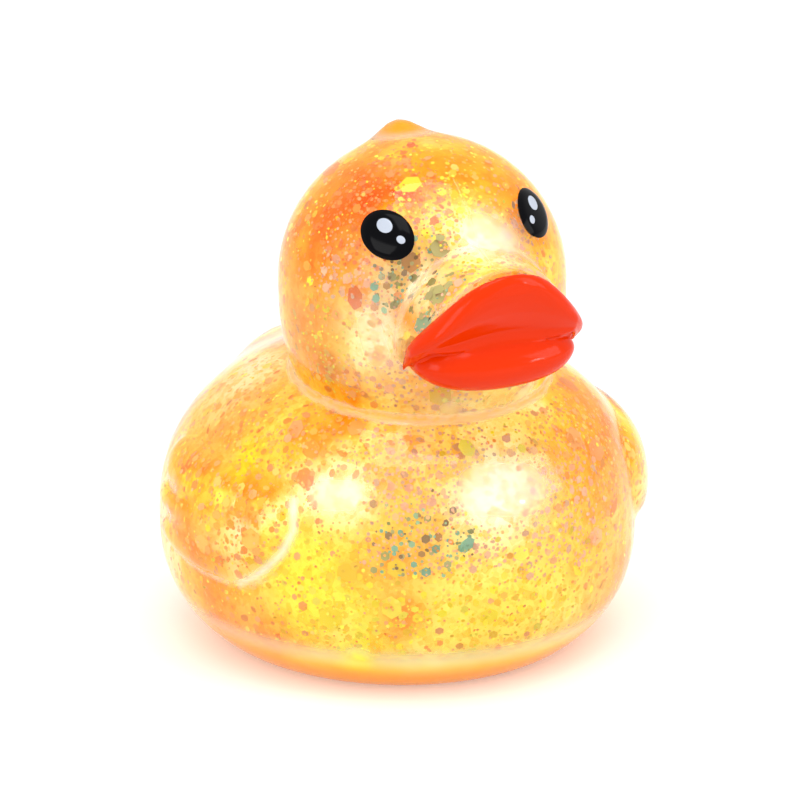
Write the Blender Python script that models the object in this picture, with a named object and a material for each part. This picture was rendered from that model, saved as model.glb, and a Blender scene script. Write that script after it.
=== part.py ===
# A squeezy bath duck with a glittering liquid core.
# The amber skin is moulded in one piece with its bill, wings, tail and tuft, and it is hollow.
# Clear liquid fills the hollow, and a soft plug closes the filling hole under the base.
# Lengths are in metres. The duck faces -Y, stands on Z = 0 and is the same on both sides of X = 0.

import math

import bmesh
import bpy
from mathutils import Vector

# Body: a full round block, widest low down, cut flat where it stands
BODY_HALF_WIDTH = 0.0336
BODY_HALF_LENGTH = 0.0352
BODY_MIDDLE_Y = -0.0017
BODY_WIDEST_Z = 0.0170
BODY_RISE = 0.0264
BODY_DROP = 0.0219
BODY_FULLNESS = 2.4
BODY_CROWN_SHARE = 0.9995
CHEST_LEAN = 0.0050
BASE_EDGE_ROUND = 0.0014

# Tail: the back of the body drawn out and up into a short blunt point
TAIL_ROOT = Vector((0.0, 0.0298, 0.0275))
TAIL_DRAW = Vector((0.0, 0.0075, 0.0034))
TAIL_SPREAD = Vector((0.0120, 0.0120, 0.0085))

# Head: a ball with full cheeks that sits down into the shoulders
HEAD_CENTRE = Vector((0.0, -0.0099, 0.0548))
HEAD_RADIUS = 0.0203
CHEEK_DROP = 0.0230
CHEEK_FULLNESS = 2.5

# Tuft: a small peak drawn up from the crown
TUFT_ROOT = Vector((0.0, 0.0066, 0.0190))
TUFT_DRAW = Vector((0.0, 0.0016, 0.0022))
TUFT_SPREAD = Vector((0.0030, 0.0026, 0.0060))

# Bill: forward of the head's centre, and up from the same centre
UPPER_BILL_HALF_WIDTH = 0.0131
LOWER_BILL_HALF_WIDTH = 0.0120
BILL_ROOT_FORWARD = 0.0130
BILL_ROOT_NARROWING = 0.14
BILL_CORNER_ROUND = 0.0030
BILL_END_SHARE = 0.950
BILL_RIM_SIDE = (0.0250, 0.0000)
BILL_RIM_GAIN = (0.0040, 0.0094)
BILL_SADDLE = (0.0232, 0.0084)
BILL_SADDLE_SETBACK = 0.0040
BILL_ROOT_RISE = 0.0014
MOUTH_LEVEL = -0.0018
MOUTH_CORNER_LEVEL = -0.0072
MOUTH_FORWARD = 0.0268
MOUTH_CORNER_SETBACK = 0.0052
LOWER_LIP_FORWARD = 0.0283
LOWER_LIP_DEPTH = 0.0066
LIP_OVERLAP = 0.0008
BILL_SWELL = 0.0004
BILL_DISH = 0.0006
PAINT_LINE = 0.0230
PAINT_LINE_SLOPE = 0.60

# Eyes: ovals raised a little from the head, tipped down towards the bill
EYE_DIRECTION = Vector((0.01127, -0.01227, 0.01166)).normalized()
EYE_HALF_LENGTH = 0.0043
EYE_HALF_WIDTH = 0.0033
EYE_TILT = math.radians(32.0)
EYE_RAISE = 0.0003
EYE_ROOT = 0.0010

# Wings: a pad on each flank with three feather tips behind; outline points are (y, z)
WING_CENTRE = (-0.0097, 0.0240)
WING_OUTLINE = [
    (-0.0229, 0.0250), (-0.0215, 0.0288), (-0.0163, 0.0310), (-0.0077, 0.0318), (0.0013, 0.0316),
    (0.0067, 0.0304), (0.0077, 0.0282), (0.0049, 0.0264), (0.0015, 0.0256), (0.0063, 0.0250),
    (0.0073, 0.0230), (0.0049, 0.0218), (0.0009, 0.0212), (0.0039, 0.0200), (0.0041, 0.0180),
    (0.0013, 0.0166), (-0.0067, 0.0158), (-0.0147, 0.0162), (-0.0201, 0.0182), (-0.0225, 0.0214),
]
WING_THICKNESS = 0.0038
WING_SINK = 0.0012
WING_ROOT_DEPTH = 0.0030
FEATHER_GROOVES = [((0.0015, 0.0256), (-0.0107, 0.0262)), ((0.0009, 0.0212), (-0.0097, 0.0218))]
FEATHER_GROOVE_DEPTH = 0.0011
FEATHER_GROOVE_WIDTH = 0.0009

# Hollow, liquid and filling hole
WALL = 0.0022
TAIL_HOLLOW = 0.5
FLOOR = 0.0030
GAP = 0.0003
HOLE_RADIUS = 0.0040
PLUG_SEAT_RADIUS = 0.0064
PLUG_SEAT_DEPTH = 0.0014
PLUG_EDGE_ROUND = 0.0003

# Facets around and from pole to pole
BODY_FACETS = (56, 26)
HEAD_FACETS = (44, 24)
BILL_FACETS = (30, 26)
WING_FACETS = (60, 12)
EYE_FACETS = (24, 8)
HOLLOW_FACETS = (36, 16)
HOLE_FACETS = 32


def clear_scene():
    for item in list(bpy.data.objects):
        bpy.data.objects.remove(item, do_unlink=True)


def make_material(name, colour, roughness, clearness=0.0):
    material = bpy.data.materials.new(name)
    material.use_nodes = True
    shader = material.node_tree.nodes["Principled BSDF"]
    shader.inputs["Base Color"].default_value = (*colour, 1.0)
    shader.inputs["Roughness"].default_value = roughness
    shader.inputs["Metallic"].default_value = 0.0
    shader.inputs["Transmission Weight"].default_value = clearness
    material.diffuse_color = (*colour, 1.0)
    return material


def superellipse(share, power):
    # Radius share left at a height share of 0 to 1
    return max(0.0, 1.0 - abs(share) ** power) ** (1.0 / power)


def closed_curve(points, share):
    # A point on the smooth closed curve through the given points, share running from 0 to 1
    count = len(points)
    place = (share % 1.0) * count
    index = int(place)
    t = place - index
    a, b, c, d = [points[(index + step) % count] for step in (-1, 0, 1, 2)]
    result = []
    for pa, pb, pc, pd in zip(a, b, c, d):
        bend = 2.0 * pa - 5.0 * pb + 4.0 * pc - pd
        twist = 3.0 * pb - 3.0 * pc + pd - pa
        result.append(0.5 * (2.0 * pb + (pc - pa) * t + bend * t * t + twist * t ** 3))
    return result


def drawn(point, root, draw, spread):
    # Pulls the surface near a root point, less the further a point lies from it
    offset = point - root
    reach = sum((offset[axis] / spread[axis]) ** 2 for axis in range(3))
    return point + draw * math.exp(-reach)


def shaped_ball(name, facets, shape):
    # A unit ball whose points are moved to where the given rule puts them
    mesh = bpy.data.meshes.new(name)
    shell = bmesh.new()
    bmesh.ops.create_uvsphere(shell, u_segments=facets[0], v_segments=facets[1], radius=1.0)
    for vert in shell.verts:
        vert.co = shape(vert.co.copy())
    if shell.calc_volume(signed=True) < 0.0:
        bmesh.ops.reverse_faces(shell, faces=shell.faces)
    return finish_mesh(name, mesh, shell)


def finish_mesh(name, mesh, shell):
    shell.to_mesh(mesh)
    shell.free()
    mesh.shade_smooth()
    mesh.set_sharp_from_angle(angle=math.radians(40.0))
    item = bpy.data.objects.new(name, mesh)
    bpy.context.scene.collection.objects.link(item)
    return item


def lofted(name, rings, pointed_end=False):
    # A closed skin over rings of equal count; the ends are flat faces, or the last runs to a point
    mesh = bpy.data.meshes.new(name)
    shell = bmesh.new()
    loops = [[shell.verts.new(point) for point in ring] for ring in rings]
    for low, high in zip(loops, loops[1:]):
        for index in range(len(low)):
            after = (index + 1) % len(low)
            shell.faces.new((low[index], low[after], high[after], high[index]))
    shell.faces.new(loops[0])
    top = shell.faces.new(loops[-1])
    if pointed_end:
        bmesh.ops.poke(shell, faces=[top])
    bmesh.ops.recalc_face_normals(shell, faces=shell.faces)
    return finish_mesh(name, mesh, shell)


def body_section(z):
    # Share of the full half width at height z, and how far forward the section has moved
    above = z > BODY_WIDEST_Z
    share = (z - BODY_WIDEST_Z) / (BODY_RISE if above else BODY_DROP)
    lean = CHEST_LEAN * share ** 2 if above else 0.0
    return superellipse(min(abs(share), 1.0), BODY_FULLNESS), lean


def body_levels(count):
    # Heights of the body's rings: close together round the edge of the base, then evenly up the side
    edge = [BASE_EDGE_ROUND * share for share in (0.0, 0.12, 0.45)]
    low_turn = math.asin((BODY_WIDEST_Z - BASE_EDGE_ROUND) / BODY_DROP)
    turns = [low_turn * (index / count - 1.0) for index in range(count)]
    turns += [0.5 * math.pi * index / count for index in range(count)]
    sides = [math.sin(turn) * (BODY_RISE if turn > 0.0 else BODY_DROP) for turn in turns]
    return edge + [BODY_WIDEST_Z + side for side in sides] + [BODY_WIDEST_Z + BODY_RISE * BODY_CROWN_SHARE]


def body_ring(z, count, tail):
    scale, lean = body_section(z)
    under = max(0.0, 1.0 - z / BASE_EDGE_ROUND)
    tuck = BASE_EDGE_ROUND * (1.0 - math.sqrt(1.0 - under * under))
    ring = []
    for index in range(count):
        angle = 2.0 * math.pi * index / count
        x = (BODY_HALF_WIDTH * scale - tuck) * math.cos(angle)
        y = (BODY_HALF_LENGTH * scale - tuck) * math.sin(angle) + BODY_MIDDLE_Y - lean
        ring.append(drawn(Vector((x, y, z)), TAIL_ROOT, tail * TAIL_DRAW, TAIL_SPREAD))
    return ring


def body_form(name, facets, tail=1.0):
    around, upward = facets
    return lofted(name, [body_ring(z, around, tail) for z in body_levels(upward // 2)], True)


def head_point(unit, tuft=1.0):
    if unit.z > 0.0:
        return drawn(HEAD_RADIUS * unit, TUFT_ROOT, tuft * TUFT_DRAW, TUFT_SPREAD) + HEAD_CENTRE
    height = abs(unit.z) ** (2.0 / CHEEK_FULLNESS)
    radius = HEAD_RADIUS * superellipse(height, CHEEK_FULLNESS)
    around = Vector((unit.x, unit.y))
    if around.length > 0.0:
        around.normalize()
    return Vector((radius * around.x, radius * around.y, -CHEEK_DROP * height)) + HEAD_CENTRE


def set_in(item, wall):
    # Moves a skin inwards by the wall, to make the form of the hollow
    shell = bmesh.new()
    shell.from_mesh(item.data)
    shell.normal_update()
    moved = [vert.co - vert.normal * wall for vert in shell.verts]
    for vert, place in zip(shell.verts, moved):
        vert.co = place
    shell.to_mesh(item.data)
    shell.free()


def cut_level(item, height):
    # Cuts the foot of a form off flat at a height and closes it
    shell = bmesh.new()
    shell.from_mesh(item.data)
    everything = shell.verts[:] + shell.edges[:] + shell.faces[:]
    bmesh.ops.bisect_plane(shell, geom=everything, dist=1e-7, plane_co=(0.0, 0.0, height),
                           plane_no=(0.0, 0.0, 1.0), clear_inner=True)
    bmesh.ops.contextual_create(shell, geom=[edge for edge in shell.edges if edge.is_boundary])
    shell.to_mesh(item.data)
    shell.free()


def inner_forms(name, wall, floor):
    # The hollow follows the skin at the wall's depth, reaches halfway into the tail and not into the tuft
    body = body_form(name + "_body", HOLLOW_FACETS, TAIL_HOLLOW)
    set_in(body, wall)
    cut_level(body, floor)
    head = shaped_ball(name + "_head", HOLLOW_FACETS, lambda unit: head_point(unit, 0.0))
    set_in(head, wall)
    return body, head


def bill_form(name, half_width, section):
    # A lip is a row of cross sections that lie along the duck; the last ones round off its sides
    around, across = BILL_FACETS
    ribs = []
    for step in range(across + 1):
        side = math.sin(math.pi * (step / across - 0.5))
        middle = math.sqrt(1.0 - side * side)
        full = math.sqrt(1.0 - (BILL_END_SHARE * abs(side)) ** 6)
        points = section(middle)
        core = 0.5 * (points[3][1] + points[-2][1])
        rib = []
        for index in range(around):
            forward, up = closed_curve(points, index / around)
            ahead = (forward - BILL_ROOT_FORWARD) / (BILL_RIM_SIDE[0] - BILL_ROOT_FORWARD)
            forward -= BILL_CORNER_ROUND * (1.0 - full) * ahead
            up = core + (up - core) * full
            width = half_width * (1.0 - BILL_ROOT_NARROWING * max(0.0, 1.0 - ahead))
            rib.append(HEAD_CENTRE + Vector((width * side, -forward, up)))
        ribs.append(rib)
    return lofted(name, ribs)


def upper_section(middle):
    # From the root over the saddle to the rim, down the front, over the dish above the mouth, and in
    rim_forward = BILL_RIM_SIDE[0] + BILL_RIM_GAIN[0] * middle ** 1.1
    rim_up = BILL_RIM_SIDE[1] + BILL_RIM_GAIN[1] * middle ** 2.5
    saddle_forward = BILL_SADDLE[0] - BILL_SADDLE_SETBACK * (1.0 - middle)
    saddle_up = BILL_RIM_SIDE[1] + (BILL_SADDLE[1] - BILL_RIM_SIDE[1]) * middle ** 1.3
    droop = (1.0 - min(1.0, 1.8 * middle)) ** 0.8
    mouth_forward = MOUTH_FORWARD - MOUTH_CORNER_SETBACK * droop
    mouth_up = MOUTH_LEVEL + (MOUTH_CORNER_LEVEL - MOUTH_LEVEL) * droop
    return [
        (BILL_ROOT_FORWARD, 0.5 * saddle_up + 0.5 * mouth_up),
        (BILL_ROOT_FORWARD + 0.0015, saddle_up + BILL_ROOT_RISE * middle),
        (0.5 * (BILL_ROOT_FORWARD + saddle_forward), saddle_up + BILL_ROOT_RISE * middle),
        (saddle_forward, saddle_up),
        (rim_forward - 0.0034, rim_up - 0.0007 * middle),
        (rim_forward - 0.0012, rim_up),
        (rim_forward, rim_up - 0.0017 * middle),
        (0.5 * (rim_forward + mouth_forward) + BILL_SWELL, 0.45 * mouth_up + 0.55 * rim_up),
        (mouth_forward - BILL_DISH * middle, 0.82 * mouth_up + 0.18 * rim_up),
        (mouth_forward - 0.0008, mouth_up),
        (0.5 * (BILL_ROOT_FORWARD + mouth_forward), mouth_up - LIP_OVERLAP),
        (BILL_ROOT_FORWARD + 0.0010, mouth_up - LIP_OVERLAP),
    ]


def lower_section(middle):
    # From the mouth over the round lower lip and back under the chin
    side_forward = BILL_RIM_SIDE[0] - 0.0010
    lip_forward = side_forward + (LOWER_LIP_FORWARD - side_forward) * middle ** 0.8
    top = MOUTH_LEVEL + 0.30 * (MOUTH_CORNER_LEVEL - MOUTH_LEVEL) * (1.0 - middle) ** 2
    depth = LOWER_LIP_DEPTH * (0.3 + 0.7 * middle ** 0.7)
    return [
        (BILL_ROOT_FORWARD, top - 0.5 * depth),
        (BILL_ROOT_FORWARD + 0.0020, top + LIP_OVERLAP),
        (0.5 * (BILL_ROOT_FORWARD + lip_forward), top + LIP_OVERLAP),
        (lip_forward - 0.0028, top + 0.0006),
        (lip_forward - 0.0007, top - 0.16 * depth),
        (lip_forward, top - 0.5 * depth),
        (lip_forward - 0.0012, top - 0.86 * depth),
        (lip_forward - 0.0042, top - depth),
        (0.5 * (BILL_ROOT_FORWARD + lip_forward), top - 0.98 * depth),
        (BILL_ROOT_FORWARD + 0.0020, top - 0.9 * depth),
    ]


def eye_form(name, side):
    # An oval pad that follows the head's curve
    normal = Vector((side * EYE_DIRECTION.x, EYE_DIRECTION.y, EYE_DIRECTION.z))
    level = Vector((0.0, 0.0, 1.0)).cross(normal).normalized() * side
    upright = normal.cross(level).normalized() * side
    long_axis = level * math.cos(EYE_TILT) + upright * math.sin(EYE_TILT)
    short_axis = upright * math.cos(EYE_TILT) - level * math.sin(EYE_TILT)

    def eye_point(unit):
        spread = Vector((unit.x, unit.y))
        across = spread.length ** 0.6 if spread.length > 0.0 else 0.0
        around = spread.normalized() if spread.length > 0.0 else spread
        place = normal * HEAD_RADIUS
        place += long_axis * (EYE_HALF_LENGTH * across * around.x)
        place += short_axis * (EYE_HALF_WIDTH * across * around.y)
        rise = EYE_RAISE if unit.z > 0.0 else EYE_ROOT
        depth = math.copysign(abs(unit.z) ** 0.5, unit.z) * rise
        return HEAD_CENTRE + place.normalized() * (HEAD_RADIUS + depth)

    return shaped_ball(name, EYE_FACETS, eye_point)


def flank_reach(y, z):
    # Half width of the body at a point of its side
    scale, lean = body_section(z)
    along = (y - BODY_MIDDLE_Y + lean) / (BODY_HALF_LENGTH * scale)
    return BODY_HALF_WIDTH * scale * math.sqrt(max(0.0, 1.0 - along * along))


def groove_depth(y, z):
    # The two valleys between the feathers, which fade out towards the chest
    depth = 0.0
    for (y0, z0), (y1, z1) in FEATHER_GROOVES:
        along = ((y - y0) * (y1 - y0) + (z - z0) * (z1 - z0)) / ((y1 - y0) ** 2 + (z1 - z0) ** 2)
        held = max(0.0, min(1.0, along))
        away = math.hypot(y - y0 - held * (y1 - y0), z - z0 - held * (z1 - z0))
        depth += FEATHER_GROOVE_DEPTH * (1.0 - held) * math.exp(-(away / FEATHER_GROOVE_WIDTH) ** 2)
    return depth


def wing_form(name, side):
    def wing_point(unit):
        share = math.atan2(unit.y, unit.x) / (2.0 * math.pi)
        rim_y, rim_z = closed_curve(WING_OUTLINE, share)
        across = min(1.0, math.hypot(unit.x, unit.y))
        y = WING_CENTRE[0] + (rim_y - WING_CENTRE[0]) * across
        z = WING_CENTRE[1] + (rim_z - WING_CENTRE[1]) * across
        if unit.z > 0.0:
            stand = WING_THICKNESS * unit.z ** 0.5 - groove_depth(y, z) * unit.z ** 0.3
        else:
            stand = WING_ROOT_DEPTH * unit.z
        return Vector((side * (flank_reach(y, z) - WING_SINK + stand), y, z))

    return shaped_ball(name, WING_FACETS, wing_point)


def turned_form(name, profile, facets):
    # A solid turned about the Z axis from (radius, height) points, bottom to top
    mesh = bpy.data.meshes.new(name)
    shell = bmesh.new()
    verts = [shell.verts.new((radius, 0.0, height)) for radius, height in profile]
    edges = [shell.edges.new(pair) for pair in zip(verts, verts[1:])]
    bmesh.ops.spin(shell, geom=verts + edges, cent=(0.0, 0.0, 0.0), axis=(0.0, 0.0, 1.0),
                   angle=2.0 * math.pi, steps=facets, use_merge=True)
    bmesh.ops.remove_doubles(shell, verts=shell.verts, dist=1e-6)
    bmesh.ops.recalc_face_normals(shell, faces=shell.faces)
    return finish_mesh(name, mesh, shell)


def filling_hole():
    return turned_form("filling_hole", [
        (0.0, -0.0010), (PLUG_SEAT_RADIUS, -0.0010), (PLUG_SEAT_RADIUS, PLUG_SEAT_DEPTH),
        (HOLE_RADIUS, PLUG_SEAT_DEPTH), (HOLE_RADIUS, FLOOR + 0.0010), (0.0, FLOOR + 0.0010),
    ], HOLE_FACETS)


def filler_plug():
    # A soft stopper: its flange lies in the seat and its stem fills the hole up to the inner floor
    flange = PLUG_SEAT_RADIUS - GAP
    stem = HOLE_RADIUS - GAP
    shoulder = PLUG_SEAT_DEPTH - GAP
    top = FLOOR - GAP
    return turned_form("filler_plug", [
        (0.0, GAP), (flange - PLUG_EDGE_ROUND, GAP), (flange, GAP + PLUG_EDGE_ROUND),
        (flange, shoulder), (stem, shoulder), (stem, top - PLUG_EDGE_ROUND),
        (stem - PLUG_EDGE_ROUND, top), (0.0, top),
    ], HOLE_FACETS)


def combine(target, tool, operation):
    modifier = target.modifiers.new(tool.name, "BOOLEAN")
    modifier.operation = operation
    modifier.solver = "EXACT"
    modifier.material_mode = "TRANSFER"
    modifier.object = tool
    tool.hide_render = True
    tool.display_type = "WIRE"


def paint_front(form, amber, paint):
    # Paint covers the upper bill from just behind its rim forwards; the root behind stays bare
    across = Vector((0.0, -1.0, -PAINT_LINE_SLOPE))
    line = HEAD_CENTRE + Vector((0.0, -PAINT_LINE, 0.0))
    shell = bmesh.new()
    shell.from_mesh(form.data)
    everything = shell.verts[:] + shell.edges[:] + shell.faces[:]
    bmesh.ops.bisect_plane(shell, geom=everything, dist=1e-6, plane_co=line, plane_no=across)
    shell.to_mesh(form.data)
    shell.free()
    form.data.materials.append(amber)
    form.data.materials.append(paint)
    for face in form.data.polygons:
        face.material_index = int((face.center - line).dot(across) > 0.0)


def build_skin(amber, bill_paint, eye_print):
    skin = body_form("skin", BODY_FACETS)
    skin.data.materials.append(amber)
    upper_bill = bill_form("upper_bill_form", UPPER_BILL_HALF_WIDTH, upper_section)
    paint_front(upper_bill, amber, bill_paint)
    moulded = [
        (shaped_ball("head_form", HEAD_FACETS, head_point), amber),
        (wing_form("wing_form_left", 1.0), amber),
        (wing_form("wing_form_right", -1.0), amber),
        (upper_bill, None),
        (bill_form("lower_bill_form", LOWER_BILL_HALF_WIDTH, lower_section), bill_paint),
        (eye_form("eye_form_left", 1.0), eye_print),
        (eye_form("eye_form_right", -1.0), eye_print),
    ]
    for form, material in moulded:
        if material:
            form.data.materials.append(material)
        combine(skin, form, "UNION")
    for form in (*inner_forms("hollow", WALL, FLOOR), filling_hole()):
        form.data.materials.append(amber)
        combine(skin, form, "DIFFERENCE")
    return skin


def build_liquid(clear_liquid):
    liquid, head = inner_forms("liquid", WALL + GAP, FLOOR + GAP)
    liquid.name = "liquid_fill"
    for form in (liquid, head):
        form.data.materials.append(clear_liquid)
    combine(liquid, head, "UNION")
    return liquid


def main():
    clear_scene()
    amber = make_material("amber_skin", (1.0, 0.42, 0.08), 0.18, 0.7)
    bill_paint = make_material("red_bill_paint", (1.0, 0.05, 0.0), 0.25)
    eye_print = make_material("black_eye_print", (0.004, 0.004, 0.005), 0.2)
    clear_liquid = make_material("clear_liquid", (1.0, 0.86, 0.55), 0.05, 1.0)
    plug_rubber = make_material("plug_rubber", (1.0, 0.55, 0.18), 0.3, 0.4)
    build_skin(amber, bill_paint, eye_print)
    build_liquid(clear_liquid)
    filler_plug().data.materials.append(plug_rubber)


main()
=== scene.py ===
import math

import bmesh
import bpy
import numpy as np
from mathutils import Matrix, Vector, noise
from mathutils.bvhtree import BVHTree


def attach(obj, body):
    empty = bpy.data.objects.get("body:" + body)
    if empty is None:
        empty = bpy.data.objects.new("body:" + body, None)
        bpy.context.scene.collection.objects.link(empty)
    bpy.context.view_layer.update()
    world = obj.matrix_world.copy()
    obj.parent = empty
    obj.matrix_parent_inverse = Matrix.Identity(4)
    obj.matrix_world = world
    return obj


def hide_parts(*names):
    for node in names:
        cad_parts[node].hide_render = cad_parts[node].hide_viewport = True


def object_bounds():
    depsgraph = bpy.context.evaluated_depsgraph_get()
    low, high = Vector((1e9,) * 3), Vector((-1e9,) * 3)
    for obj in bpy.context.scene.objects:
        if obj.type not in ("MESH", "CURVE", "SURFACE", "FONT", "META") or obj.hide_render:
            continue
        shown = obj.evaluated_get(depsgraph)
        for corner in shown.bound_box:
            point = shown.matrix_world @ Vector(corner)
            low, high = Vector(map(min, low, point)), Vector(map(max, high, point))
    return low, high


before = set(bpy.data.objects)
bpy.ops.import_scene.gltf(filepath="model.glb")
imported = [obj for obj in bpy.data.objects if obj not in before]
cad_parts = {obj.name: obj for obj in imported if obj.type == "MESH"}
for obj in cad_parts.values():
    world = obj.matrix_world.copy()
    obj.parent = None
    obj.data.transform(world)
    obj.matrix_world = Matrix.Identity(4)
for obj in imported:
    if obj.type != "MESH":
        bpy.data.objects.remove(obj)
cadLow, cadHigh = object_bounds()
mm = 0.001


# Small helpers

def deselectAll():
    if bpy.context.object and bpy.context.object.mode != "OBJECT":
        bpy.ops.object.mode_set(mode="OBJECT")
    bpy.ops.object.select_all(action="DESELECT")


def pick(piece):
    deselectAll()
    piece.select_set(True)
    bpy.context.view_layer.objects.active = piece


def selectFaces(piece, rule):
    # rule sees a face's centre
    pick(piece)
    bpy.ops.object.mode_set(mode="EDIT")
    bpy.ops.mesh.select_mode(type="FACE")
    bpy.ops.mesh.select_all(action="DESELECT")
    bpy.ops.object.mode_set(mode="OBJECT")
    for face in piece.data.polygons:
        face.select = rule(face.center)
    bpy.ops.object.mode_set(mode="EDIT")


def copyOfNode(nodeName, pieceName):
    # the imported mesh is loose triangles, so the copy is merged first
    piece = bpy.data.objects.new(pieceName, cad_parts[nodeName].data.copy())
    bpy.context.scene.collection.objects.link(piece)
    piece.data.materials.clear()
    pick(piece)
    bpy.ops.object.mode_set(mode="EDIT")
    bpy.ops.mesh.select_all(action="SELECT")
    bpy.ops.mesh.remove_doubles(threshold=0.005 * mm)
    bpy.ops.object.mode_set(mode="OBJECT")
    return piece


def applyModifier(piece, kind, **settings):
    pick(piece)
    modifier = piece.modifiers.new(kind.title(), kind)
    for setting, value in settings.items():
        setattr(modifier, setting, value)
    bpy.ops.object.modifier_apply(modifier=modifier.name)


def remeshed(piece, voxel, smoothing):
    applyModifier(piece, "REMESH", mode="VOXEL", voxel_size=voxel, use_smooth_shade=True)
    if smoothing:
        applyModifier(piece, "SMOOTH", factor=0.5, iterations=smoothing)
    pick(piece)
    bpy.ops.object.shade_smooth()


def nodesOf(material):
    material.use_nodes = True
    return material.node_tree.nodes, material.node_tree.links


def setSockets(shader, values):
    for socket, value in values.items():
        shader.inputs[socket].default_value = value


def plainMaterial(name, sockets):
    material = bpy.data.materials.new(name)
    setSockets(nodesOf(material)[0]["Principled BSDF"], sockets)
    return material


def readAttribute(nodes, name):
    reader = nodes.new("ShaderNodeAttribute")
    reader.attribute_name = name
    return reader


def clearMaterial(name):
    # for a surface that bounds something and isn't seen itself
    material = bpy.data.materials.new(name)
    nodes, links = nodesOf(material)
    through = nodes.new("ShaderNodeBsdfTransparent")
    links.new(through.outputs[0], nodes["Material Output"].inputs["Surface"])
    return material


def mathStep(nodes, links, kind, first, second):
    # second is another node's output, or a number
    step = nodes.new("ShaderNodeMath")
    step.operation = kind
    links.new(first, step.inputs[0])
    if isinstance(second, float):
        step.inputs[1].default_value = second
    else:
        links.new(second, step.inputs[1])
    return step.outputs[0]


def paleShadow(nodes, links, seen, tint, share):
    # this share of the light falls through the piece in this tint, so its shadow stays pale
    clear = nodes.new("ShaderNodeBsdfTransparent")
    clear.inputs["Color"].default_value = tint
    path = nodes.new("ShaderNodeLightPath")
    amount = path.outputs["Is Shadow Ray"]
    if share < 1.0:
        amount = mathStep(nodes, links, "MULTIPLY", amount, share)
    choice = nodes.new("ShaderNodeMixShader")
    links.new(amount, choice.inputs[0])
    links.new(seen.outputs[0], choice.inputs[1])
    links.new(clear.outputs[0], choice.inputs[2])
    links.new(choice.outputs[0], nodes["Material Output"].inputs["Surface"])


def treeOf(piece):
    return BVHTree.FromPolygons([vert.co for vert in piece.data.vertices],
                                [face.vertices for face in piece.data.polygons])


def put(material, piece):
    piece.data.materials.append(material)


# Camera, floor and light

view = {
    "azimuth": -25.5, "elevation": 20.0, "distance": 1.2,
    "aimUp": 32.0 * mm, "aimBack": -2.7 * mm, "pictureWidth": 800 / 7 * mm, "sensor": 36.0,
    "clipStart": 0.05,
}


def makeCamera():
    turn = math.radians(view["azimuth"])
    lift = math.radians(view["elevation"])
    back = Vector((math.sin(turn) * math.cos(lift), -math.cos(turn) * math.cos(lift), math.sin(lift)))
    right = Vector((math.cos(turn), math.sin(turn), 0.0))
    up = back.cross(right)
    aim = up * view["aimUp"] + Vector((0.0, view["aimBack"], 0.0))
    bpy.ops.object.camera_add()
    camera = bpy.context.object
    place = Matrix((right, up, back)).transposed().to_4x4()
    place.translation = aim + back * view["distance"]
    camera.matrix_world = place
    camera.data.sensor_width = view["sensor"]
    camera.data.lens = view["sensor"] * view["distance"] / view["pictureWidth"]
    camera.data.clip_start = view["clipStart"]
    bpy.context.scene.camera = camera


studio = {
    "floorSize": 4.0, "floorLift": 0.2, "worldStrength": 0.72, "white": (1.0, 1.0, 1.0, 1.0),
    "floor": {"Base Color": (0.86, 0.86, 0.86, 1.0), "Roughness": 0.9, "Specular IOR Level": 0.0},
    "lampAim": (0.0, 0.0, 35.0 * mm),
    "lamps": [  # name, place, size, watts
        ("topBox", (-0.05, -0.15, 0.75), 0.5, 2.5),
        ("leftBox", (-0.75, -0.35, 0.45), 0.45, 1.9),
        ("rightBox", (0.65, -0.55, 0.35), 0.45, 1.7),
        ("smallLamp", (0.52, -0.72, 0.20), 0.08, 0.35),
    ],
}


def makeFloor():
    bpy.ops.mesh.primitive_plane_add(size=studio["floorSize"])
    floor = bpy.context.object
    floor.name = "floor"
    material = bpy.data.materials.new("paleFloor")
    nodes, links = nodesOf(material)
    shader = nodes["Principled BSDF"]
    setSockets(shader, studio["floor"])
    glow = nodes.new("ShaderNodeEmission")
    path = nodes.new("ShaderNodeLightPath")
    seen = mathStep(nodes, links, "MAXIMUM", path.outputs["Is Camera Ray"], path.outputs["Is Glossy Ray"])
    seen = mathStep(nodes, links, "MAXIMUM", seen, path.outputs["Is Transmission Ray"])
    lift = mathStep(nodes, links, "MULTIPLY", seen, studio["floorLift"])
    both = nodes.new("ShaderNodeAddShader")
    links.new(lift, glow.inputs["Strength"])
    links.new(shader.outputs[0], both.inputs[0])
    links.new(glow.outputs[0], both.inputs[1])
    links.new(both.outputs[0], nodes["Material Output"].inputs["Surface"])
    put(material, floor)


def makeLight():
    world = bpy.data.worlds.new("paleRoom")
    bpy.context.scene.world = world
    world.use_nodes = True
    nodes, links = world.node_tree.nodes, world.node_tree.links
    room = nodes["Background"]
    setSockets(room, {"Strength": studio["worldStrength"], "Color": studio["white"]})
    white = nodes.new("ShaderNodeBackground")
    setSockets(white, {"Color": studio["white"]})
    path = nodes.new("ShaderNodeLightPath")
    seen = mathStep(nodes, links, "MAXIMUM", path.outputs["Is Camera Ray"],
                    path.outputs["Is Transmission Ray"])
    choice = nodes.new("ShaderNodeMixShader")
    links.new(seen, choice.inputs[0])
    links.new(room.outputs[0], choice.inputs[1])
    links.new(white.outputs[0], choice.inputs[2])
    links.new(choice.outputs[0], nodes["World Output"].inputs["Surface"])
    for name, place, size, watts in studio["lamps"]:
        bpy.ops.object.light_add(type="AREA", location=place)
        lamp = bpy.context.object
        lamp.name = name
        lamp.data.size = size
        lamp.data.energy = watts
        aim = Vector(studio["lampAim"]) - Vector(place)
        lamp.rotation_euler = aim.to_track_quat("-Z", "Y").to_euler()
    bpy.context.scene.view_settings.view_transform = "Standard"


makeCamera()
makeFloor()
makeLight()
print("stage: camera, floor and light are up")


# The colour that the glittering liquid has at a place, in zones, with painted highlights where the lamps
# shine back from the front

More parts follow.
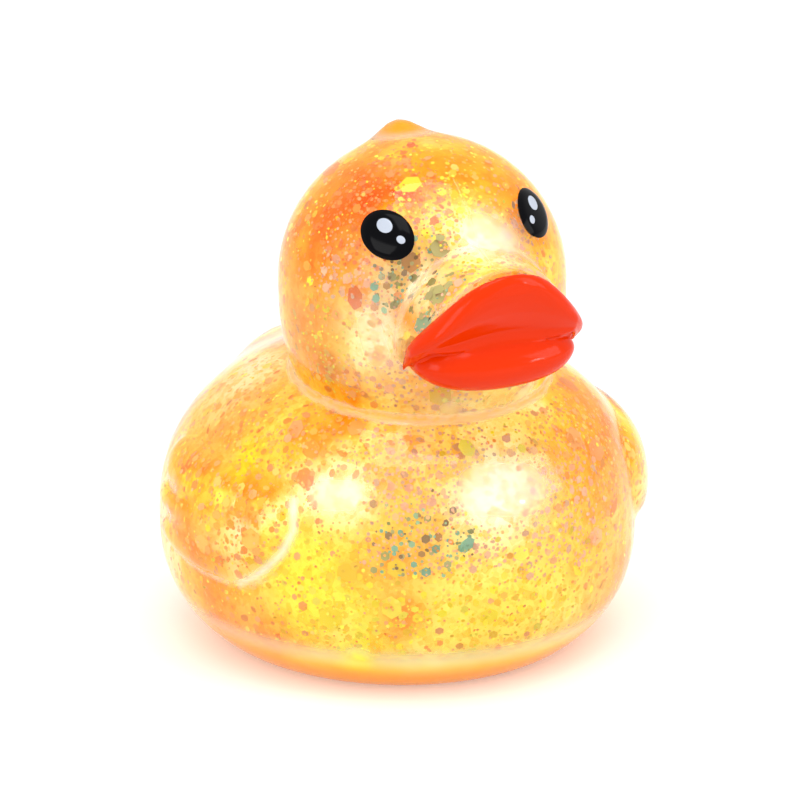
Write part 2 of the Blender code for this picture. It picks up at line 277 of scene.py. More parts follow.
zones = {
    "ground": [(1.0, 0.46, 0.06), (1.0, 0.60, 0.10), (1.0, 0.74, 0.16), (1.0, 0.88, 0.34), (1.0, 0.97, 0.70)],
    "groundScale": 75.0, "groundGain": 0.9, "driftScale": 90.0, "driftReach": 2.5 * mm, "driftSeed": 7,
    "depth": (1.3, 1.3, 1.9),  # the powers that deepen red, green and blue
    "patchFall": 1.2, "patchEdge": 1.8, "lineEdge": 2.5,  # both edges as multiples of the reach
    "patchesAndHighlights": [  # middle in mm, reach in mm, colour, strength
        ((-8.0, -34.0, 14.0), 19.0, (1.0, 0.93, 0.46), 0.85),
        ((12.0, -33.0, 20.0), 14.0, (1.0, 0.88, 0.44), 0.8),
        ((-4.0, -30.0, 34.0), 12.0, (1.0, 0.90, 0.50), 0.8),
        ((-26.0, -8.0, 36.0), 14.0, (1.0, 0.84, 0.40), 0.7),
        ((-12.2, -13.8, 70.5), 8.5, (1.0, 0.19, 0.01), 1.0),
        ((-7.1, -18.2, 71.8), 5.5, (1.0, 0.12, 0.0), 1.0),
        ((-16.3, -11.2, 66.7), 8.0, (1.0, 0.22, 0.02), 1.0),
        ((-10.9, -5.8, 71.7), 7.0, (1.0, 0.27, 0.08), 0.9),
        ((3.5, -15.8, 73.1), 10.0, (1.0, 0.38, 0.03), 0.95),
        ((-9.6, -20.1, 69.6), 2.6, (1.0, 0.85, 0.0), 1.0),
        ((-2.3, -25.2, 67.9), 6.0, (1.0, 0.97, 0.50), 0.95),
        # painted highlight on the forehead
        ((1.5, -26.7, 66.1), 5.5, (1.0, 1.0, 0.95), 1.0),
        ((-17.0, -16.5, 63.0), 6.0, (1.0, 0.50, 0.30), 0.8),
        ((-17.5, -19.5, 58.2), 3.6, (1.0, 0.42, 0.02), 0.9),
        ((-20.2, -10.1, 50.7), 7.0, (0.80, 0.42, 0.30), 0.7),
        ((-18.6, -15.2, 45.2), 4.0, (0.70, 0.30, 0.08), 0.7),
        ((-14.7, -23.8, 52.8), 8.0, (1.0, 0.97, 0.84), 0.95),
        ((-9.0, -25.6, 61.0), 6.5, (1.0, 1.0, 0.98), 0.95),
        ((-12.0, -26.2, 54.0), 2.6, (1.0, 0.40, 0.06), 0.8),
        ((7.1, -26.3, 64.2), 5.0, (1.0, 0.90, 0.80), 0.9),
        ((14.0, -18.3, 64.2), 7.0, (1.0, 0.48, 0.12), 0.8),
        ((-20.4, -16.5, 38.1), 5.0, (1.0, 0.50, 0.08), 0.9),
        ((-16.2, -18.6, 39.3), 3.0, (1.0, 0.40, 0.04), 0.8),
        ((-27.4, 0.2, 34.4), 9.0, (1.0, 0.44, 0.12), 0.9),
        ((-28.6, -9.1, 33.0), 3.0, (1.0, 0.85, 0.02), 0.9),
        ((-29.5, -15.0, 31.0), 4.5, (1.0, 0.40, 0.06), 0.85),
        ((-32.5, -10.1, 27.5), 4.0, (1.0, 0.92, 0.40), 0.8),
        ((-32.0, -16.6, 24.5), 5.0, (1.0, 0.97, 0.90), 0.9),
        ((-35.0, -5.1, 18.0), 8.0, (1.0, 0.40, 0.14), 0.7),
        # painted highlight on the left of the chest
        ((-21.0, -25.9, 31.0), 6.5, (1.0, 1.0, 0.84), 0.95),
        # painted highlight: the white glare on the chest
        ((1.0, -34.7, 31.0), 10.0, (1.0, 1.0, 0.97), 1.0),
        ((1.0, -34.7, 31.5), 5.0, (1.0, 1.0, 1.0), 1.0),
        ((-15.2, -28.1, 34.5), 5.0, (1.0, 0.58, 0.26), 0.8),
        ((-25.7, -24.3, 17.1), 8.0, (1.0, 0.95, 0.22), 0.95),
        ((-18.6, -28.0, 7.2), 3.6, (1.0, 1.0, 0.0), 1.0),
        ((-29.0, -15.1, 8.5), 7.0, (1.0, 0.66, 0.32), 0.85),
        ((18.0, -30.1, 27.0), 12.0, (1.0, 0.62, 0.22), 0.8),
        ((20.0, -29.0, 6.0), 8.0, (1.0, 0.60, 0.20), 0.6),
        ((-14.6, -33.2, 22.8), 8.0, (0.98, 0.60, 0.26), 0.8),
        ((3.8, -36.6, 15.0), 10.0, (1.0, 0.84, 0.30), 0.7),
        ((-8.5, -26.8, 38.6), 6.0, (1.0, 0.72, 0.55), 0.8),
        ((-4.4, -31.1, 36.0), 4.0, (1.0, 0.82, 0.20), 0.8),
        ((-14.2, -33.2, 12.4), 4.0, (0.90, 0.36, 0.14), 0.7),
        ((-33.4, -0.9, 30.0), 3.2, (1.0, 0.40, 0.03), 0.95),
        ((-31.8, -7.7, 31.2), 2.6, (1.0, 0.38, 0.02), 0.95),
        ((-29.4, -12.6, 31.8), 2.6, (1.0, 0.40, 0.04), 0.95),
        ((-26.9, -17.2, 31.6), 2.2, (1.0, 0.42, 0.05), 0.9),
        ((-34.3, -1.3, 26.9), 2.2, (1.0, 0.88, 0.20), 0.95),
        ((-33.5, -8.2, 27.9), 1.9, (1.0, 0.95, 0.35), 0.95),
        ((-32.0, -13.3, 28.2), 2.0, (1.0, 1.0, 0.70), 0.95),
        ((-30.1, -17.4, 28.3), 2.0, (1.0, 0.88, 0.30), 0.95),
        ((-33.4, -12.2, 25.8), 1.7, (0.95, 0.30, 0.12), 0.75),
        ((-31.4, -16.8, 25.6), 2.0, (0.95, 0.34, 0.14), 0.75),
        ((-29.4, -20.9, 22.0), 3.4, (1.0, 0.86, 0.24), 0.9),
        ((-34.7, -10.5, 20.0), 3.6, (1.0, 0.80, 0.58), 0.9),
        ((-35.2, -2.1, 23.8), 2.4, (1.0, 0.44, 0.06), 0.9),
        ((-35.3, -1.0, 19.6), 2.6, (1.0, 0.50, 0.28), 0.85),
        ((-21.8, 7.5, 37.1), 9.0, (1.0, 0.74, 0.60), 0.8),
        ((-15.8, 10.3, 39.0), 6.0, (1.0, 0.90, 0.80), 0.8),
        ((26.5, -19.0, 29.0), 10.0, (1.0, 0.44, 0.0), 1.0),
        ((25.0, -25.0, 10.0), 9.0, (1.0, 0.50, 0.10), 0.8),
    ],
    "paintedLights": [  # painted highlights and painted light along lines: reach in mm, colour, strength, points in mm
        (0.6, (1.0, 1.0, 0.92), 0.6, [
            (-25.3, -21.7, 29.5), (-25.9, -22.9, 25.6), (-27.5, -22.3, 22.2), (-29.5, -20.0, 19.0),
            (-30.8, -15.5, 15.9),
        ]),
        (4.4, (1.0, 1.0, 0.93), 0.34, [(-2.5, -34.2, 31.5), (3.8, -34.6, 30.8)]),
        (3.6, (1.0, 1.0, 0.90), 0.24, [(-22.5, -25.0, 31.0), (-19.5, -27.0, 31.0)]),
        (3.2, (1.0, 1.0, 0.93), 0.34, [(1.0, -26.3, 66.5), (4.5, -27.5, 65.0)]),
        (4.6, (1.0, 0.98, 0.84), 0.2, [(-14.7, -23.8, 54.0), (-13.5, -24.0, 50.0)]),
        # painted light: it lifts the shade that the bill casts on the chin
        (2.4, (1.0, 0.94, 0.60), 0.35, [(-4.0, -26.0, 42.2), (8.0, -25.0, 42.2)]),
        (1.5, (1.0, 0.95, 0.0), 0.8, [(-18.9, -28.2, 7.4), (-18.2, -28.5, 7.2)]),
    ],
}

noise.seed_set(zones["driftSeed"])  # noise_vector differs from run to run without it


def mixed(one, other, share):
    return tuple(a + (b - a) * share for a, b in zip(one, other))


def liquidColourWithHighlights(place):
    # cloudy ground of cream, yellow and peach, with the zones that the swirling glitter makes, and white
    # patches that are painted highlights
    drift = noise.noise_vector(place * zones["driftScale"]) * zones["driftReach"]
    swirl = noise.fractal(place * zones["groundScale"], 1.0, 2.0, 3)
    level = min(max(0.5 + zones["groundGain"] * swirl, 0.0), 0.999) * (len(zones["ground"]) - 1)
    step = int(level)
    colour = mixed(zones["ground"][step], zones["ground"][step + 1], level - step)
    for middle, reach, tint, strength in zones["patchesAndHighlights"]:
        away = (place + drift - Vector(middle) * mm).length / (reach * mm)
        if away < zones["patchEdge"]:
            colour = mixed(colour, tint, strength * math.exp(-zones["patchFall"] * away * away))
    return tuple(channel ** power for channel, power in zip(colour, zones["depth"]))


def paintedLightColour(place, colour, share):
    # painted highlights laid over the rubber along short lines, and at the chin painted light over the bill's
    # shade: its colour, and how far it hides what is under it
    for reach, tint, strength, points in zones["paintedLights"]:
        for start, end in zip(points, points[1:]):
            first = Vector(start) * mm
            run = Vector(end) * mm - first
            held = min(max((place - first).dot(run) / run.dot(run), 0.0), 1.0)
            away = (place - first - run * held).length / (reach * mm)
            if away < zones["lineEdge"]:
                weight = strength * math.exp(-away * away)
                colour = mixed(colour, tint, weight)
                share = max(share, weight)
    return colour, share


# Skin: the imported skin smoothed into one soft moulding, cloudy at the tuft, in the creases and at the foot,
# with painted highlights laid on it

skinLook = {
    "voxel": 0.6 * mm, "smoothing": 6,
    "sockets": {  # a link drives the transmission in renders, but the export reads this value too
        "Roughness": 0.05, "IOR": 1.42, "Transmission Weight": 1.0,
        "Subsurface Weight": 0.4, "Subsurface Radius": (1.0, 0.7, 0.4), "Subsurface Scale": 2.0 * mm,
    },
    "light": (1.0, 0.95, 0.88, 1.0),
    "thin": (1.0, 0.96, 0.83), "thick": (1.0, 0.36, 0.0), "fold": (1.0, 0.50, 0.03),
    "foot": (4.5 * mm, 9.5 * mm), "innerReach": 0.9 * mm,
    "rim": 1.6,  # the foot's deeper rim ends at this multiple of its lower height
    "tuft": Vector((0.0, -3.3, 76.2)) * mm, "tuftReach": (2.8 * mm, 6.5 * mm),
    "crease": (0.03, 0.08), "creaseHaze": 0.92, "spread": 3,
    "seam": {
        "half": 0.25 * mm, "behind": -20.0 * mm, "above": 58.0 * mm, "strength": 0.5, "height": 0.1 * mm,
    },
}


def eased(share):
    held = min(max(share, 0.0), 1.0)
    return held * held * (3.0 - 2.0 * held)


def creases(piece):
    # how deep each vertex lies below its neighbours, as a share of their distance, spread a little
    shell = bmesh.new()
    shell.from_mesh(piece.data)
    shell.normal_update()
    depths = []
    for vert in shell.verts:
        around = [edge.other_vert(vert).co - vert.co for edge in vert.link_edges]
        reach = sum(step.length for step in around)
        depths.append(sum(step.dot(vert.normal) for step in around) / reach if reach else 0.0)
    links = [[edge.other_vert(vert).index for edge in vert.link_edges] for vert in shell.verts]
    for step in range(skinLook["spread"]):
        depths = [0.5 * own + 0.5 * sum(depths[i] for i in near) / max(len(near), 1)
                  for own, near in zip(depths, links)]
    shell.free()
    return depths


def rubberAt(place, crease):
    # the rubber's own colour with painted highlights laid over it, and how far it hides what is under it
    low, high = skinLook["crease"]
    fold = skinLook["creaseHaze"] * min(max((crease - low) / (high - low), 0.0), 1.0)
    near, far = skinLook["tuftReach"]
    tuft = eased((far - (place - skinLook["tuft"]).length) / (far - near))
    near, far = skinLook["foot"]
    foot = eased((far - place.z) / (far - near))
    colour = mixed(skinLook["thin"], skinLook["fold"], fold)
    base = mixed(liquidColourWithHighlights(place), skinLook["thick"], eased(skinLook["rim"] - place.z / near))
    colour = mixed(mixed(colour, skinLook["thick"], tuft), base, foot)
    return paintedLightColour(place, colour, max(fold, tuft, foot))


def addSeam(nodes, links, shader):
    # the fine mould seam down the forehead, as a ridge in the surface's shading
    seam = skinLook["seam"]
    places = nodes.new("ShaderNodeTexCoord")
    apart = nodes.new("ShaderNodeSeparateXYZ")
    links.new(places.outputs["Object"], apart.inputs[0])
    steps = []
    for source, kind, value in (("X", "ABSOLUTE", 0.0), ("Y", "LESS_THAN", seam["behind"]),
                                ("Z", "GREATER_THAN", seam["above"])):
        steps.append(mathStep(nodes, links, kind, apart.outputs[source], value))
    ridge = nodes.new("ShaderNodeMapRange")
    ridge.interpolation_type = "SMOOTHSTEP"
    setSockets(ridge, {"From Max": seam["half"], "To Min": 1.0, "To Max": 0.0})
    links.new(steps[0], ridge.inputs["Value"])
    height = ridge.outputs[0]
    for step in steps[1:]:
        height = mathStep(nodes, links, "MULTIPLY", height, step)
    bump = nodes.new("ShaderNodeBump")
    setSockets(bump, {"Strength": seam["strength"], "Distance": seam["height"]})
    links.new(height, bump.inputs["Height"])
    links.new(bump.outputs["Normal"], shader.inputs["Normal"])


def makeSkin(liquidTree):
    skin = copyOfNode("skin", "duckSkin")
    remeshed(skin, skinLook["voxel"], skinLook["smoothing"])
    depths = creases(skin)
    colours = np.ones((len(skin.data.vertices), 4), np.float32)
    shares = np.zeros(len(skin.data.vertices), np.float32)
    for index, vert in enumerate(skin.data.vertices):
        colours[index, :3], shares[index] = rubberAt(vert.co, depths[index])
    # the rubber's tint with painted highlights; the haze share also rises where a painted highlight covers
    # the glitter
    tint = skin.data.color_attributes.new("rubberTintAndPaintedLight", "FLOAT_COLOR", "POINT")
    tint.data.foreach_set("color", colours.ravel())
    thickness = skin.data.attributes.new("rubberDepthAndPaintedLight", "FLOAT", "POINT")
    thickness.data.foreach_set("value", shares)
    outer = bpy.data.materials.new("amberSkin")
    nodes, links = nodesOf(outer)
    shader = nodes["Principled BSDF"]
    setSockets(shader, skinLook["sockets"])
    colour = readAttribute(nodes, "rubberTintAndPaintedLight")
    links.new(colour.outputs["Color"], shader.inputs["Base Color"])
    depth = readAttribute(nodes, "rubberDepthAndPaintedLight")
    clearness = nodes.new("ShaderNodeMapRange")
    setSockets(clearness, {"To Min": 1.0, "To Max": 0.0})
    links.new(depth.outputs["Fac"], clearness.inputs["Value"])
    links.new(clearness.outputs[0], shader.inputs["Transmission Weight"])
    addSeam(nodes, links, shader)
    paleShadow(nodes, links, shader, skinLook["light"], 1.0)
    put(outer, skin)
    put(clearMaterial("innerWall"), skin)
    for face in skin.data.polygons:
        near = liquidTree.find_nearest(face.center, skinLook["innerReach"])
        face.material_index = int(near[0] is not None)
    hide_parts("skin")
    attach(skin, "root")
    return skin


# Liquid: clear, and the dense glitter deeper in it as a soft bright cloud that glows a little as painted
# light

liquidLook = {
    "voxel": 0.9 * mm, "smoothing": 6, "cloudDepth": 2.2 * mm, "cloudSmoothing": (4, 8, 3),
    "under": (1.4 * mm, 4.3 * mm), "footRise": (3.0 * mm, 14.0 * mm), "swell": 6.5 * mm,
    # the emission here is a painted glow
    "sockets": {
        "Roughness": 0.5, "Specular IOR Level": 0.0, "Subsurface Weight": 0.15,
        "Subsurface Radius": (1.0, 0.8, 0.5), "Subsurface Scale": 3.0 * mm, "Emission Strength": 0.16,
    },
    "light": (1.0, 0.80, 0.50, 1.0), "letThrough": 0.7,
    "grain": [  # cells to a metre, the cell values between which the tint comes in, and the tint
        (800.0, 0.55, 1.0, (1.0, 0.78, 0.42, 1.0)), (1700.0, 0.5, 1.0, (1.0, 0.86, 0.55, 1.0)),
    ],
}


def makeLiquid():
    liquid = copyOfNode("liquid_fill", "clearLiquid")
    remeshed(liquid, liquidLook["voxel"], liquidLook["smoothing"])
    put(clearMaterial("clearLiquid"), liquid)
    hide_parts("liquid_fill")
    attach(liquid, "root")
    return liquid


def outsideOf(skin):
    # the skin's outer side alone
    return BVHTree.FromPolygons([vert.co for vert in skin.data.vertices],
                                [face.vertices for face in skin.data.polygons if not face.material_index])


def depthAt(place):
    # how deep the cloud lies under the skin: less and less towards the foot
    low, high = liquidLook["footRise"]
    near, far = liquidLook["under"]
    return near + (far - near) * eased((place.z - low) / (high - low))


def makeGrain(nodes, links, tone):
    # small cells of deeper colour, as glitter too fine to be modelled
    places = nodes.new("ShaderNodeTexCoord")
    for scale, low, high, tint in liquidLook["grain"]:
        cells = nodes.new("ShaderNodeTexVoronoi")
        cells.inputs["Scale"].default_value = scale
        amount = nodes.new("ShaderNodeMapRange")
        setSockets(amount, {"From Min": low, "From Max": high})
        split = nodes.new("ShaderNodeSeparateColor")
        mix = nodes.new("ShaderNodeMix")
        mix.data_type = "RGBA"
        mix.blend_type = "MULTIPLY"
        mix.inputs[7].default_value = tint
        links.new(places.outputs["Object"], cells.inputs["Vector"])
        links.new(cells.outputs["Color"], split.inputs[0])
        links.new(split.outputs[0], amount.inputs["Value"])
        links.new(amount.outputs[0], mix.inputs[0])
        links.new(tone, mix.inputs[6])
        tone = mix.outputs[2]
    return tone


def makeCloud(liquid, outside):
    first, second, last = liquidLook["cloudSmoothing"]
    cloud = bpy.data.objects.new("glitterCloud", liquid.data.copy())
    bpy.context.scene.collection.objects.link(cloud)
    cloud.data.materials.clear()
    applyModifier(cloud, "DISPLACE", strength=-liquidLook["cloudDepth"], mid_level=0.0)
    remeshed(cloud, liquidLook["voxel"], first)
    places = []
    for vert in cloud.data.vertices:
        # it swells into the wings, the tail and the bill's root, where the glitter shows too
        reach = outside.ray_cast(vert.co, vert.normal)[3] or 0.0
        places.append(vert.co + vert.normal * min(max(reach - depthAt(vert.co), 0.0), liquidLook["swell"]))
    for vert, place in zip(cloud.data.vertices, places):
        vert.co = place
    remeshed(cloud, liquidLook["voxel"], second)
    for vert in cloud.data.vertices:
        place, outward, _, away = outside.find_nearest(vert.co)
        if away < depthAt(place):
            vert.co = place - outward * depthAt(place)
    applyModifier(cloud, "SMOOTH", factor=0.5, iterations=last)
    # the liquid's zones, with the painted highlights among them
    layer = cloud.data.color_attributes.new("zoneAndHighlightColour", "FLOAT_COLOR", "POINT")
    colours = np.ones((len(cloud.data.vertices), 4), np.float32)
    for index, vert in enumerate(cloud.data.vertices):
        colours[index, :3] = liquidColourWithHighlights(vert.co + vert.normal * depthAt(vert.co))
    layer.data.foreach_set("color", colours.ravel())
    material = bpy.data.materials.new("glitterCloud")
    nodes, links = nodesOf(material)
    shader = nodes["Principled BSDF"]
    setSockets(shader, liquidLook["sockets"])
    tone = makeGrain(nodes, links, readAttribute(nodes, "zoneAndHighlightColour").outputs["Color"])
    links.new(tone, shader.inputs["Base Color"])
    # painted light: the cloud glows in its own colours, standing in for light scattered through the liquid
    links.new(tone, shader.inputs["Emission Color"])
    paleShadow(nodes, links, shader, liquidLook["light"], liquidLook["letThrough"])
    put(material, cloud)
    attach(cloud, "root")
    return cloud


liquid = makeLiquid()
liquidTree = treeOf(liquid)
skin = makeSkin(liquidTree)
print("stage: skin has", len(skin.data.polygons), "faces")
outside = outsideOf(skin)
cloud = makeCloud(liquid, outside)
print("stage: liquid and cloud have", len(liquid.data.polygons), len(cloud.data.polygons), "faces")


# Glitter: six-sided flakes between the cloud and the skin's outer side. At the wings, the tail, the
# bill's root and the foot, cloud and flakes lie inside the rubber.

glitter = {
    "seed": 7,
    "sizes": {  # tries over the whole duck, then in mm radius, thickness, depth under the skin, spacing
        "fineGlitter": (8500, (0.14, 0.22), 0.03, (2.6, 3.6), 0.58),
        "smallGlitter": (4500, (0.24, 0.34), 0.03, (2.6, 3.8), 0.95),
        "mediumGlitter": (1500, (0.42, 0.72), 0.04, (2.7, 4.0), 1.6),
        "largeGlitter": (24, (1.2, 1.7), 0.05, (2.8, 3.8), 4.4),
    },
    "lowest": 4.0 * mm, "jitter": 0.3 * mm, "lean": 0.28, "brightness": (0.85, 1.1),
    "crowd": {"scale": 110.0, "chance": 0.35, "least": -0.35, "yellow": 0.25},
    "roughness": 0.35, "translucence": 0.2, "letThrough": 0.7, "light": (1.0, 1.0, 1.0, 1.0),
    "palettes": {
        "amber": [(1.0, 0.40, 0.05), (1.0, 0.48, 0.10), (1.0, 0.56, 0.06), (1.0, 0.52, 0.20),
                  (1.0, 0.68, 0.14)],
        "yellow": [(1.0, 0.86, 0.02), (1.0, 0.92, 0.10), (1.0, 0.72, 0.03)],
        "pond": [(0.40, 0.64, 0.42), (0.46, 0.46, 0.16), (0.38, 0.24, 0.10), (0.52, 0.50, 0.22),
                 (0.64, 0.36, 0.12), (0.28, 0.54, 0.40)],
        "teal": [(0.30, 0.62, 0.50)],
        "ember": [(0.95, 0.24, 0.02), (1.0, 0.32, 0.04), (0.90, 0.30, 0.08), (1.0, 0.40, 0.10)],
        "rose": [(1.0, 0.56, 0.34), (0.92, 0.53, 0.36), (1.0, 0.60, 0.28), (0.86, 0.56, 0.38)],
    },
    "swarms": [  # middle in mm, reach in mm, palette, and half the tries for each size
        ((-5.5, -36.0, 24.2), 0.5, "teal", 0, 0, 0, 1),
        ((-15.6, -20.6, 57.0), 0.5, "ember", 0, 0, 0, 1),
        ((-8.0, -27.1, 61.8), 4.5, "pond", 20, 32, 26, 1),
        ((-11.0, -25.7, 60.0), 4.0, "pond", 20, 30, 34, 1),
        ((-8.0, -27.1, 61.8), 7.0, "rose", 260, 140, 10, 0),
        ((-10.0, -17.0, 71.0), 9.0, "ember", 300, 200, 60, 0),
        ((-27.0, -8.0, 35.0), 12.0, "amber", 60, 80, 100, 0),
        ((-20.0, -18.0, 37.0), 8.0, "amber", 40, 40, 50, 0),
        ((-16.0, -18.5, 62.0), 5.5, "rose", 120, 58, 18, 0),
        ((7.1, -26.3, 63.0), 6.0, "rose", 160, 65, 12, 0),
        ((-8.5, -27.6, 38.2), 10.0, "rose", 260, 106, 20, 0),
        ((-12.0, -33.1, 24.8), 5.5, "pond", 20, 32, 26, 0),
        ((-5.5, -36.0, 24.2), 2.0, "pond", 10, 5, 2, 2),
        ((-8.0, -33.1, 29.0), 9.0, "rose", 300, 120, 20, 0),
        ((11.0, -33.1, 26.0), 9.0, "rose", 180, 100, 40, 1),
        ((-20.0, -28.1, 15.0), 9.0, "yellow", 60, 80, 60, 3),
        ((-13.0, -33.6, 12.6), 2.6, "yellow", 20, 30, 60, 0),
        ((-21.0, -28.0, 12.6), 4.0, "yellow", 20, 30, 60, 1),
        ((4.0, -35.6, 14.0), 11.0, "yellow", 120, 100, 60, 2),
        ((-19.0, -18.1, 38.5), 7.0, "amber", 60, 60, 40, 4),
        ((-4.0, -23.0, 69.5), 6.0, "yellow", 160, 90, 26, 0),
        ((-2.3, -25.2, 67.9), 6.0, "yellow", 100, 49, 16, 0),
        ((-31.0, -14.0, 25.0), 6.0, "amber", 60, 44, 24, 2),
        ((-6.0, -28.4, 62.0), 3.0, "pond", 10, 20, 14, 0),
        ((24.0, -22.0, 30.0), 8.0, "amber", 200, 200, 50, 1),
        ((16.0, -30.0, 34.0), 8.0, "amber", 200, 160, 40, 2),
    ],
    # middle and reach in mm of the painted highlights, which are kept free of flakes
    "clearings": [((0.6, -34.5, 31.0), 5.5), ((-21.0, -25.9, 31.0), 4.0), ((2.0, -26.6, 66.0), 3.5)],
}


def inClearing(place):
    # no flakes lie over the painted highlights
    return any((place - Vector(middle) * mm).length < reach * mm for middle, reach in glitter["clearings"])


class Spread:
    # keeps flakes of one size from lying on each other
    def __init__(self, spacing):
        self.cell = spacing
        self.taken = {}

    def free(self, place):
        key = tuple(int(math.floor(x / self.cell)) for x in place)
        for dx in (-1, 0, 1):
            for dy in (-1, 0, 1):
                for dz in (-1, 0, 1):
                    other = self.taken.get((key[0] + dx, key[1] + dy, key[2] + dz))
                    if other is not None and (other - place).length < self.cell:
                        return False
        self.taken[key] = place.copy()
        return True


def flakeShape():
    bpy.ops.mesh.primitive_cylinder_add(vertices=6, radius=1.0, depth=1.0, end_fill_type="NGON")
    flake = bpy.context.object
    points = np.array([vert.co for vert in flake.data.vertices])
    faces = [list(face.vertices) for face in flake.data.polygons]
    bpy.data.objects.remove(flake)
    return points, faces


def surfacePoints(piece, count, chance):
    # random points on a piece's outer side, with the normal there
    faces = [face for face in piece.data.polygons
             if not face.material_index and face.center.z > glitter["lowest"]]
    areas = np.array([face.area for face in faces])
    chosen = chance.choice(len(faces), count, p=areas / areas.sum())
    jitter = chance.normal(0.0, glitter["jitter"], (count, 3))
    return [(faces[int(index)].center + Vector(push), faces[int(index)].normal.copy())
            for index, push in zip(chosen, jitter)]


def swarmPoints(tree, middle, reach, count, chance):
    places = []
    for push in chance.uniform(-reach * mm, reach * mm, (count * 2, 3)):
        place, outward, _, _ = tree.find_nearest(Vector(middle) * mm + Vector(push))
        places.append((place, outward))
    return places


def makeFoil():
    foil = bpy.data.materials.new("glitterFoil")
    nodes, links = nodesOf(foil)
    shader = nodes["Principled BSDF"]
    shader.inputs["Roughness"].default_value = glitter["roughness"]
    colour = readAttribute(nodes, "flakeColour")
    links.new(colour.outputs["Color"], shader.inputs["Base Color"])
    through = nodes.new("ShaderNodeBsdfTranslucent")
    lit = nodes.new("ShaderNodeMixShader")
    lit.inputs[0].default_value = glitter["translucence"]
    links.new(colour.outputs["Color"], through.inputs["Color"])
    links.new(shader.outputs[0], lit.inputs[1])
    links.new(through.outputs[0], lit.inputs[2])
    paleShadow(nodes, links, lit, glitter["light"], glitter["letThrough"])
    return foil


def makeGlitter(skin, outside):
    chance = np.random.default_rng(glitter["seed"])
    points, faces = flakeShape()
    foil = makeFoil()
    crowds = glitter["crowd"]
    for order, (name, (count, radii, thick, depths, spacing)) in enumerate(glitter["sizes"].items()):
        spread = Spread(spacing * mm)
        spots = []
        for middle, reach, palette, *counts in glitter["swarms"]:
            for place, outward in swarmPoints(outside, middle, reach, counts[order], chance):
                if not inClearing(place) and spread.free(place):
                    spots.append((place, outward, palette))
        for place, outward in surfacePoints(skin, count, chance):
            crowd = noise.noise(place * crowds["scale"]) + crowds["chance"] * chance.normal()
            palette = "yellow" if crowd > crowds["yellow"] else "amber"
            if crowd > crowds["least"] and not inClearing(place) and spread.free(place):
                spots.append((place, outward, palette))
        verts = np.empty((len(spots), len(points), 3))
        colours = np.ones((len(spots), len(points), 4), np.float32)
        for index, (place, outward, palette) in enumerate(spots):
            lean = Vector(outward) + Vector(chance.normal(0.0, glitter["lean"], 3))
            turn = lean.to_track_quat("Z", "Y").to_matrix()
            radius = chance.uniform(*radii) * mm
            centre = place - outward * chance.uniform(*depths) * mm * depthAt(place) / liquidLook["under"][1]
            shape = points * (radius, radius, thick * mm)
            verts[index] = shape @ np.array(turn).T + np.array(centre)
            hues = glitter["palettes"][palette]
            hue = np.array(hues[chance.integers(len(hues))]) * chance.uniform(*glitter["brightness"])
            colours[index, :, :3] = np.clip(hue, 0.0, 1.0)
        mesh = bpy.data.meshes.new(name)
        step = len(points)
        mesh.from_pydata(verts.reshape(-1, 3).tolist(), [],
                         [[corner + step * index for corner in face]
                          for index in range(len(spots)) for face in faces])
        layer = mesh.color_attributes.new("flakeColour", "FLOAT_COLOR", "POINT")
        layer.data.foreach_set("color", colours.ravel())
        flakes = bpy.data.objects.new(name, mesh)
        bpy.context.scene.collection.objects.link(flakes)
        put(foil, flakes)
        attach(flakes, "root")
        print("stage:", name, "has", len(spots), "flakes")


makeGlitter(skin, outside)


# Bill: the red coat on both lips, as a skin of paint over the moulding

billLook = {
    "middle": Vector((0.0, -9.9, 54.8)) * mm, "voxel": 0.25 * mm, "smoothing": 5, "coat": 0.12 * mm,
    "low": 44.0 * mm, "high": 68.0 * mm, "behind": 15.0 * mm, "headReach": (20.5 * mm, 20.5 * mm, 30.0 * mm),
    "paintLine": 23.0 * mm, "paintSlope": 0.60, "tiny": 0.001 * mm,
    "sockets": {"Base Color": (0.80, 0.034, 0.0, 1.0), "Roughness": 0.12, "Specular IOR Level": 0.14},
    "tuck": {
        "depth": 0.3 * mm, "reach": 0.9 * mm, "facing": 0.3, "creaseStart": 0.5 * mm, "creaseBack": 1.0 * mm,
        "creaseHalf": 5.0 * mm, "redStart": 0.7 * mm, "chin": 47.5 * mm,
    },
}


